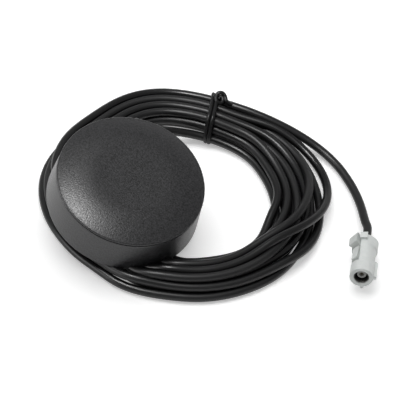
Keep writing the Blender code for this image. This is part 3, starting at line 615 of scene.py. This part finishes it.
def grainedShell():
    # ABS, injection moulded in an eroded tool: matt dark grey that breaks up light in grains 0.5 mm across,
    # drawn a little coarser than the real ones so that they show
    material, tree, shader = newMaterial("moulded ABS, eroded grain", {"IOR": 1.53})
    value = grainBump(tree, shader, 2100.0, 0.75, 0.085, detail=1.0)
    rampTo(tree, shader, "Roughness", value, 0.32, 0.44)
    rampTo(tree, shader, "Base Color", value, "#101011", "#303032")
    return material


def mouldedNylon():
    # glass-filled nylon, moulded: pale grey and satin, with a faint flow mottle 2 mm across
    material, tree, shader = newMaterial("moulded grey nylon", {"Roughness": 0.42, "IOR": 1.53})
    value = grainBump(tree, shader, 500.0, 0.12, 0.03)
    rampTo(tree, shader, "Base Color", value, "#d1d5d3", "#d9dcda")
    return material


def coatedWire():
    # steel wire in PVC: black and half glossy, slightly uneven along its length
    material, tree, shader = newMaterial("PVC coated wire", {"Base Color": linearColour("#0e0e0f"), "IOR": 1.43})
    value = grainBump(tree, shader, 1.0, 0.3, 0.04, "UV", squeeze=(600.0, 8.0, 1.0))
    rampTo(tree, shader, "Roughness", value, 0.32, 0.44)
    return material


def mouldedRubber():
    # nitrile rubber, pressed: dull black with a dusty bloom in patches about 1 mm across
    material, tree, shader = newMaterial("pressed nitrile rubber", {"IOR": 1.52})
    value = grainBump(tree, shader, 1100.0, 0.3, 0.05)
    rampTo(tree, shader, "Base Color", value, "#1a1a1b", "#29292a")
    rampTo(tree, shader, "Roughness", value, 0.72, 0.88)
    return material


def platedNickel():
    # sintered magnet, nickel plated: grey mirror, softened by the sinter's pits, 0.4 mm apart
    settings = {"Base Color": linearColour("#c8c5bc"), "Metallic": 1.0}
    material, tree, shader = newMaterial("nickel plated magnet", settings)
    value = grainBump(tree, shader, 2500.0, 0.2, 0.02)
    rampTo(tree, shader, "Roughness", value, 0.2, 0.36)
    return material


def solderMask():
    # epoxy glass board under green lacquer: lighter where copper lies beneath, in lanes about 1.5 mm wide
    material, tree, shader = newMaterial("green lacquered board", {"Roughness": 0.32, "IOR": 1.5})
    grainBump(tree, shader, 2000.0, 0.15, 0.02)
    place = addNode(tree, "ShaderNodeTexCoord").outputs["Object"]
    lanes = addNode(tree, "ShaderNodeTexWave", {"Scale": 210.0, "Distortion": 3.5, "Detail": 1.0}, {"Vector": place})
    rampTo(tree, shader, "Base Color", lanes.outputs["Fac"], "#0d4a26", "#1b7a41")
    return material


def tinnedSteel():
    # steel, stamped and tin plated: pale metal with fine rolling marks drawn out 20 to 1
    material, tree, shader = newMaterial("tin plated steel", {"Base Color": linearColour("#bdbdb8"), "Metallic": 1.0})
    value = grainBump(tree, shader, 900.0, 0.2, 0.02, squeeze=(1.0, 1.0, 0.05))
    rampTo(tree, shader, "Roughness", value, 0.22, 0.4)
    return material


def firedCeramic():
    # microwave ceramic, pressed and fired: tan and dull, speckled 0.3 mm across
    material, tree, shader = newMaterial("fired tan ceramic", {"IOR": 1.65})
    value = grainBump(tree, shader, 3200.0, 0.3, 0.03)
    rampTo(tree, shader, "Base Color", value, "#9c7c5a", "#c09f7a")
    rampTo(tree, shader, "Roughness", value, 0.5, 0.7)
    return material


def foamTape():
    # acrylic foam tape: white and dull with open cells 0.4 mm across
    material, tree, shader = newMaterial("acrylic foam tape", {"IOR": 1.45})
    value = grainBump(tree, shader, 2600.0, 0.6, 0.12, detail=0.0)
    rampTo(tree, shader, "Base Color", value, "#cfcdc5", "#ecebe5")
    rampTo(tree, shader, "Roughness", value, 0.75, 0.9)
    return material


def transferMoulding():
    # epoxy chip body, transfer moulded: charcoal with glass filler showing as 0.2 mm speckle
    material, tree, shader = newMaterial("moulded epoxy chip", {"IOR": 1.55})
    value = grainBump(tree, shader, 5000.0, 0.25, 0.02)
    rampTo(tree, shader, "Base Color", value, "#1b1b1d", "#2e2e30")
    rampTo(tree, shader, "Roughness", value, 0.5, 0.65)
    return material


def braidedCopper():
    # copper wires, braided: bands 0.5 mm wide crossing both ways, with a painted highlight on top of each band and
    # painted shade between them
    material, tree, shader = newMaterial("braided copper", {"Metallic": 1.0})
    place = addNode(tree, "ShaderNodeTexCoord").outputs["Object"]
    bands = {}
    for number, turn in enumerate((math.radians(35), math.radians(-35))):
        turned = addNode(tree, "ShaderNodeMapping", {"Rotation": (turn, 0.0, turn)}, {"Vector": place}).outputs[0]
        bands[number] = addNode(tree, "ShaderNodeTexWave", {"Scale": 630.0}, {"Vector": turned}).outputs["Fac"]
    weaveLitAndShaded = addNode(tree, "ShaderNodeMath", links=bands, operation="MAXIMUM").outputs[0]
    rampTo(tree, shader, "Base Color", weaveLitAndShaded, "#7d4c30", "#cf8a5e")
    rampTo(tree, shader, "Roughness", weaveLitAndShaded, 0.45, 0.28)
    bump = addNode(tree, "ShaderNodeBump", {"Strength": 0.5, "Distance": 0.1 * mm}, {"Height": weaveLitAndShaded})
    tree.links.new(bump.outputs[0], shader.inputs["Normal"])
    return material


def turnedInsulator():
    # PTFE, turned on a lathe: waxy, with a faint mottle 0.7 mm across; its white is darkened to pale grey as painted
    # shade for its place deep in the mouth
    material, tree, shader = newMaterial("turned PTFE", {"IOR": 1.38})
    value = grainBump(tree, shader, 1500.0, 0.2, 0.02)
    rampTo(tree, shader, "Base Color", value, "#a6a7a4", "#b1b2af")
    rampTo(tree, shader, "Roughness", value, 0.4, 0.52)
    return material


def goldPlateInPaintedShade():
    # brass contact, turned and gold plated, scuffed 0.3 mm across by mating; it is coloured a dark grey-brown instead
    # of gold, as painted shade for the socket's hole deep in the mouth
    material, tree, shader = newMaterial("gold plated brass darkened as painted shade", {"Metallic": 1.0})
    value = grainBump(tree, shader, 3000.0, 0.15, 0.01)
    rampTo(tree, shader, "Base Color", value, "#45423c", "#5a564c")
    rampTo(tree, shader, "Roughness", value, 0.35, 0.5)
    return material


def nickelInPaintedShade():
    # brass, turned and nickel plated, scuffed 0.4 mm across; its dark grey is painted shade, standing in for the dark
    # reflections inside the mouth
    material, tree, shader = newMaterial("nickel plate darkened as painted shade", {"Metallic": 1.0})
    value = grainBump(tree, shader, 2500.0, 0.2, 0.02)
    rampTo(tree, shader, "Base Color", value, "#4a4a49", "#5e5e5c")
    rampTo(tree, shader, "Roughness", value, 0.25, 0.4)
    return material


finishes = dict(
    black_moulding=grainedShell(), black_cable_jacket=extrudedJacket(), black_rubber=mouldedRubber(),
    nickel_magnet=platedNickel(), green_board=solderMask(), plated_steel=tinnedSteel(), tan_ceramic=firedCeramic(),
    white_foam_tape=foamTape(), chip_black=transferMoulding(), copper_braid=braidedCopper(),
    white_insulator=turnedInsulator(), gold_plate=goldPlateInPaintedShade(), pale_grey_moulding=mouldedNylon(),
    black_tie_coating=coatedWire(),
)
for row in frame["record"]["subparts"]:
    for place in frame["nodes"][row["node"]].material_slots:
        place.material = finishes[row["material_slot"]]
print("materials made:", len(finishes))


def finishedPiece(piece, slot, *nodes):
    # gives a new piece its finish, lets it ride with the body and stand for its solids
    piece.data.materials.append(finishes[slot])
    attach(piece, "root")
    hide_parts(*nodes)
    return piece


# The puck

def domeHeight(radius):
    # flat in the middle, then falling with the power of the share of the way from the plateau to the rim
    fall = puck["totalHeight"] - puck["rimHeight"] - puck["groove"] - puck["coverEdge"]
    share = np.clip((radius - puck["plateauRadius"]) / (puck["rimRadius"] - puck["plateauRadius"]), 0, None)
    return puck["totalHeight"] - fall * share ** puck["domePower"]


def topCover():
    # a closed outline turned about Z: dome and rounded lip outside, seat and spigot below, the dome again inside
    low = puck["rimHeight"] + puck["groove"]
    rim, edge, flat = puck["rimRadius"], puck["coverEdge"], puck["plateauRadius"]
    radii = np.concatenate([np.linspace(0, flat, 8), np.linspace(flat, rim - edge, 24)[1:]])
    outside = np.stack([radii, domeHeight(radii)], -1)
    corner, tall = np.radians(np.linspace(75, 0, 6)), 0.9 * edge  # the lip's arc, a little flatter than round
    lip = np.stack([rim - edge + edge * np.cos(corner), low + tall / 2 + tall * np.sin(corner)], -1)
    seat = rim - puck["wall"] - puck["play"]
    inner = seat - puck["spigotWall"]
    spigotEnd = puck["rimHeight"] - puck["spigotDepth"]
    below = [(rim, low + 0.08), (rim - puck["grooveDepth"], low), (seat, low), (seat, spigotEnd), (inner, spigotEnd)]
    under = np.linspace(inner, 0, 12)
    inside = np.stack([under, domeHeight(under) - puck["coverWall"]], -1)
    profile = np.concatenate([outside, lip, below, inside])
    piece = turnedPiece("top_cover_skin", profile, puckTurn)
    return finishedPiece(piece, "black_moulding", "top_cover")


def housingBody():
    # a closed outline turned about Z: floor and hub inside, ledge and groove at the rim, wall outside, recess below
    rim, top, foot = puck["rimRadius"], puck["rimHeight"], puck["foot"]
    seat = rim - puck["wall"]
    shelf = seat - puck["ledge"]
    ledgeTop = top - puck["spigotDepth"] - puck["ledgeDrop"] - puck["seal"]
    hub = puck["magnetRadius"] + puck["hubWall"]
    pocket, recess = puck["magnetRadius"] + puck["play"], puck["padRadius"] + puck["play"]
    profile = [
        (0, puck["hubTop"]), (hub, puck["hubTop"]), (hub, puck["floorTop"]),
        (outerRadius(puck["floorTop"]) - puck["wall"], puck["floorTop"]),
        (seat, ledgeTop - puck["ledgeFoot"]), (shelf, ledgeTop - puck["ledgeDrop"]), (shelf, ledgeTop),
        (seat, ledgeTop), (seat, top), (rim - puck["grooveDepth"], top), (rim - 0.04, top - 0.08), (rim, top - 0.18),
        *[(outerRadius(h), h) for h in np.linspace(top - 0.6, foot + 0.3, 8)],
        (outerRadius(foot), foot), (outerRadius(foot) - 0.03, 0.5 * foot), (puck["baseRadius"] - foot, 0),
        (recess, 0), (recess, puck["recess"]), (pocket, puck["recess"]), (pocket, puck["pocketTop"]),
        (0, puck["pocketTop"]),
    ]
    piece = turnedPiece("housing_skin", profile, puckTurn)
    return finishedPiece(piece, "black_moulding", "housing_body")


topCover()
housingBody()
print("puck made")


# The lead's looks

finishedPiece(leadJacket, "black_cable_jacket", "cable_lead_in", "cable_coil", "cable_lead_out")


# The tie: one coated wire, twice round the turns, its end folded over on top

tie.update(
    tip=[(23.4, 50.6, 10.2), (23.7, 49.9, 9.9)],  # in mm above the floor
    fold=[
        (29.8, 48.9, 8.6), (28.7, 48.2, 9.7), (27.9, 48.6, 10.4), (27.3, 49.8, 11.1), (26.4, 50.3, 11.8),
        (25.3, 50.2, 11.9), (24.6, 49.5, 11.4), (24.5, 48.4, 10.7), (25.1, 47.6, 10.2), (26.1, 47.7, 9.8),
        (26.8, 48.6, 10.0), (26.5, 49.7, 10.4), (25.6, 49.9, 10.4), (25.5, 49.1, 9.9),
    ],
)


def roundTheTurns(turns):
    # the furthest turn in each direction, plus its radius and the wire's, evenly spaced and a little rounded
    reach = cable["diameter"] / 2 + tie["radius"] + tie["clearance"]
    direction = np.radians(np.arange(135, 495, 3))
    toward = np.stack([np.cos(direction), np.sin(direction)], -1)
    around = turns[(turns @ toward.T).argmax(axis=0)] + reach * toward
    even = evenlySpaced(np.concatenate([around, around[:1]]), len(direction))[:-1]
    for _ in range(3):
        even = 0.5 * even + 0.25 * (np.roll(even, 1, axis=0) + np.roll(even, -1, axis=0))
    return even


def wireTie():
    # twice along the line round the turns, shifted by the pitch for each time round
    even = roundTheTurns(turnsAtTie)
    line = np.concatenate([even[:1], even[::-1], even[::-1]])
    done = np.arange(len(line)) / len(even)
    s, z = line.T
    outer, inner = s.min(), s.max()
    azimuth = tie["outerAzimuth"] + (tie["innerAzimuth"] - tie["outerAzimuth"]) * (s - outer) / (inner - outer)
    # from its tip on top the wire goes inwards over the turns, and moves sideways under them only
    shift = tie["pitch"] * np.interp(done, tie["shiftPlaces"], tie["shifts"])
    azimuth = azimuth - np.degrees(shift / (ellipseRadius(azimuth) - s))
    wraps = coilPoints(azimuth, s, z)[1:-8:4]  # every fourth point, up to where the fold takes over
    raised = np.array([0, 0, floorHeight])
    tip, fold = np.array(tie["tip"]) + raised, np.array(tie["fold"]) + raised
    path = smoothPath(np.concatenate([tip, wraps, fold]), tie["spacing"])
    # the section's first side points along X on the wraps, and turns to Y over 12 points where the fold starts
    fromFold = np.linalg.norm(path - fold[0], axis=1)
    start = len(path) - 1 - fromFold[::-1].argmin()
    share = np.clip((np.arange(len(path)) - start + 6) / 12, 0, 1)[:, None]
    side = np.array([1.0, 0, 0]) * (1 - share) + np.array([0, 1.0, 0]) * share
    piece = sweptPiece("tie_wire", path * mm, circleSection(tie["radius"] * mm, tie["sides"]), side)
    print("tie wire", len(path), "rings")
    return finishedPiece(piece, "black_tie_coating", "twist_tie")


tieWire = wireTie()


# The connector: its housing is one surface, a radius for each place along the axis and each azimuth

plug = dict(
    rear=2.9, mouth=19.4, bodyRadius=3.65, frontRadius=3.76, frontStep=(14.8, 0.4),  # where it widens, over what length
    collarRadius=4.12, collarEnd=6.9, collarSlope=0.8,
    collarTop=(0.35, 35, 35),  # share of the collar left on top, to which azimuth, and degrees over which it grows
    boreRadius=1.55, mouthRadius=2.45, rearWall=3.0, chamfer=0.16, mouthChamfer=0.2,
    turnSteps=180, rowStep=0.14, edgeRow=0.015, edgeTurn=0.2,  # half the width of a block's or cut's edge
    # flat-topped blocks: azimuth from the top towards the latch, half width, then height of the top along the axis
    blocks=dict(
        pad=(57.0, 1.85, [(3.0, 4.55), (3.5, 5.1), (6.9, 5.1), (7.15, 4.95)]),
        arm=(50.0, 1.2, [(8.3, 3.75), (8.5, 3.9), (12.0, 3.95), (13.5, 4.2), (13.9, 4.1)]),
        guard=(13.0, 1.2, [(2.9, 4.6), (3.2, 4.95), (5.2, 4.85), (5.45, 4.7)]),
        sideRib=(-93.0, 0.6, [(11.2, 4.1), (12.0, 4.7), (18.2, 4.7), (18.4, 4.55)]),
        underRib=(-170.5, 0.55, [(11.2, 4.1), (12.0, 4.95), (18.7, 4.95), (18.9, 4.8)]),
    ),
    # cuts: azimuths from and to, places along the axis from and to, radius left
    cuts=[
        (24.5, 37.5, 2.9, 7.2, 2.9), (26.0, 33.5, 7.2, 14.3, 2.8), (66.7, 73.5, 7.2, 14.3, 2.8),
        (26.0, 73.5, 13.9, 14.7, 2.75), (26.0, 93.0, 7.15, 8.3, 2.65),
    ],
    contactGap=0.04, contactWall=0.28, contactRecess=0.35, contactStart=7.0,
    crimpStart=3.1, crimpEnd=6.6, crimpBore=1.5, crimpChamfer=0.1,
)


def plugPlace():
    # the connector's frame, turned so that a piece's Z runs along the connector
    return connectorTurn() @ Matrix.Rotation(math.pi / 2, 4, "Y")


def plugRadius(along, azimuth):
    # body and collar, less the chamfers; a cut leaves its own radius; a block's top is a plane, so its radius is
    # height / cos(azimuth from its middle)
    front, widening = plug["frontStep"]
    body = plug["bodyRadius"] + (plug["frontRadius"] - plug["bodyRadius"]) * np.clip((along - front) / widening, 0, 1)
    top, edge, flank = plug["collarTop"]
    collar = (plug["collarRadius"] - body) * (top + (1 - top) * np.clip((np.abs(azimuth) - edge) / flank, 0, 1))
    radius = body + collar * (1 - np.clip((along - plug["collarEnd"]) / plug["collarSlope"], 0, 1))
    radius = radius - plug["chamfer"] * np.clip(1 - (along - plug["rear"]) / plug["chamfer"], 0, 1)
    radius = radius - plug["chamfer"] * np.clip(1 - (plug["mouth"] - along) / plug["chamfer"], 0, 1)
    for low, high, first, last, left in plug["cuts"]:
        cut = (azimuth > low) & (azimuth < high) & (along > first) & (along < last)
        radius = np.where(cut, left, radius)
    for middle, half, tops in plug["blocks"].values():
        places, heights = np.array(tops).T
        turn = np.radians((azimuth - middle + 180) % 360 - 180)
        height = np.interp(along, places, heights)
        block = (np.abs(turn) <= np.arctan(half / height)) & (along >= places[0]) & (along <= places[-1])
        radius = np.where(block, height / np.cos(turn), radius)
    return radius


def plugHousing():
    # point = (along, -r sin(azimuth), r cos(azimuth)), with the outside's radius and then the bore's, closed round
    blocks, cuts, rear, mouth = plug["blocks"].values(), plug["cuts"], plug["rear"], plug["mouth"]
    # rows and azimuths are even, with two more at each edge of a block or cut
    edges = [place for _, _, tops in blocks for place, _ in tops] + [place for cut in cuts for place in cut[2:4]]
    front, widening = plug["frontStep"]
    edges += [rear + plug["chamfer"], mouth - plug["chamfer"], front, front + widening]
    edges = np.array(edges)
    even = np.arange(rear, mouth, plug["rowStep"])
    along = np.concatenate([even, edges - plug["edgeRow"], edges + plug["edgeRow"], [mouth]])
    along = np.unique(np.round(along, 3))
    along = along[(along >= rear) & (along <= mouth)][:, None]
    even = np.arange(plug["turnSteps"]) * 360 / plug["turnSteps"] - 180
    sides = [azimuth for cut in cuts for azimuth in cut[:2]]
    for middle, half, tops in blocks:
        reach = math.degrees(math.atan(half / max(height for _, height in tops)))
        sides += [middle - reach, middle + reach]
    sides = (np.array(sides) + 180) % 360 - 180
    turns = np.concatenate([even, sides - plug["edgeTurn"], sides + plug["edgeTurn"]])
    turns = np.unique(np.round(turns, 2))[None]
    outside = plugRadius(along, turns)
    wide, bore, corner = plug["mouthRadius"], plug["boreRadius"], plug["mouthChamfer"]
    wall = plug["rearWall"]
    inner = [(mouth, wide + corner), (mouth - corner, wide), (wall, wide), (wall, bore), (rear, bore)]
    places, radii = np.array(inner).T
    radius = np.concatenate([outside, np.broadcast_to(radii[:, None], (len(inner), turns.shape[1]))])
    length = np.concatenate([along[:, 0], places])[:, None]
    angle = np.radians(turns)
    points = np.stack(np.broadcast_arrays(length, -radius * np.sin(angle), radius * np.cos(angle)), -1)
    place = np.array(connectorTurn())
    points = points.reshape(-1, 3) * mm @ place[:3, :3].T + place[:3, 3]
    quads = gridQuads(len(radius), turns.shape[1], closedRows=True)
    piece = makeMesh("connector_shell", points, quads)
    piece.data.set_sharp_from_angle(angle=math.radians(25))
    return finishedPiece(piece, "pale_grey_moulding", "connector_housing")


def plugMetal():
    # two closed outlines turned about the connector's axis: the contact's tube with a rounded lip, and the crimp
    # ring on the cable behind it
    outer = plug["mouthRadius"] - plug["contactGap"]
    inner = outer - plug["contactWall"]
    high, low = plug["mouth"] - plug["contactRecess"], plug["contactStart"]
    tube = turnedPiece("contact_tube", [
        (outer, low), (outer, high - 0.12), (outer - 0.06, high), (inner + 0.06, high), (inner, high - 0.1),
        (inner, low),
    ], plugPlace(), steps=96, sharp=50)
    tube = finishedPiece(tube, "plated_steel", "outer_contact")
    # the tube's nickel is darkened as painted shade for the inside of the mouth
    tube.data.materials[0] = nickelInPaintedShade()
    bore, start, end, corner = (plug[name] for name in ("crimpBore", "crimpStart", "crimpEnd", "crimpChamfer"))
    ring = turnedPiece("crimp_ring", [
        (bore, start), (bore, end), (outer - corner, end), (outer, end - corner), (outer, start + corner),
        (outer - corner, start),
    ], plugPlace(), steps=64, sharp=50)
    return tube, finishedPiece(ring, "plated_steel", "crimp_sleeve")


connectorShell = plugHousing()
contactTube, crimpRing = plugMetal()
print("connector made")
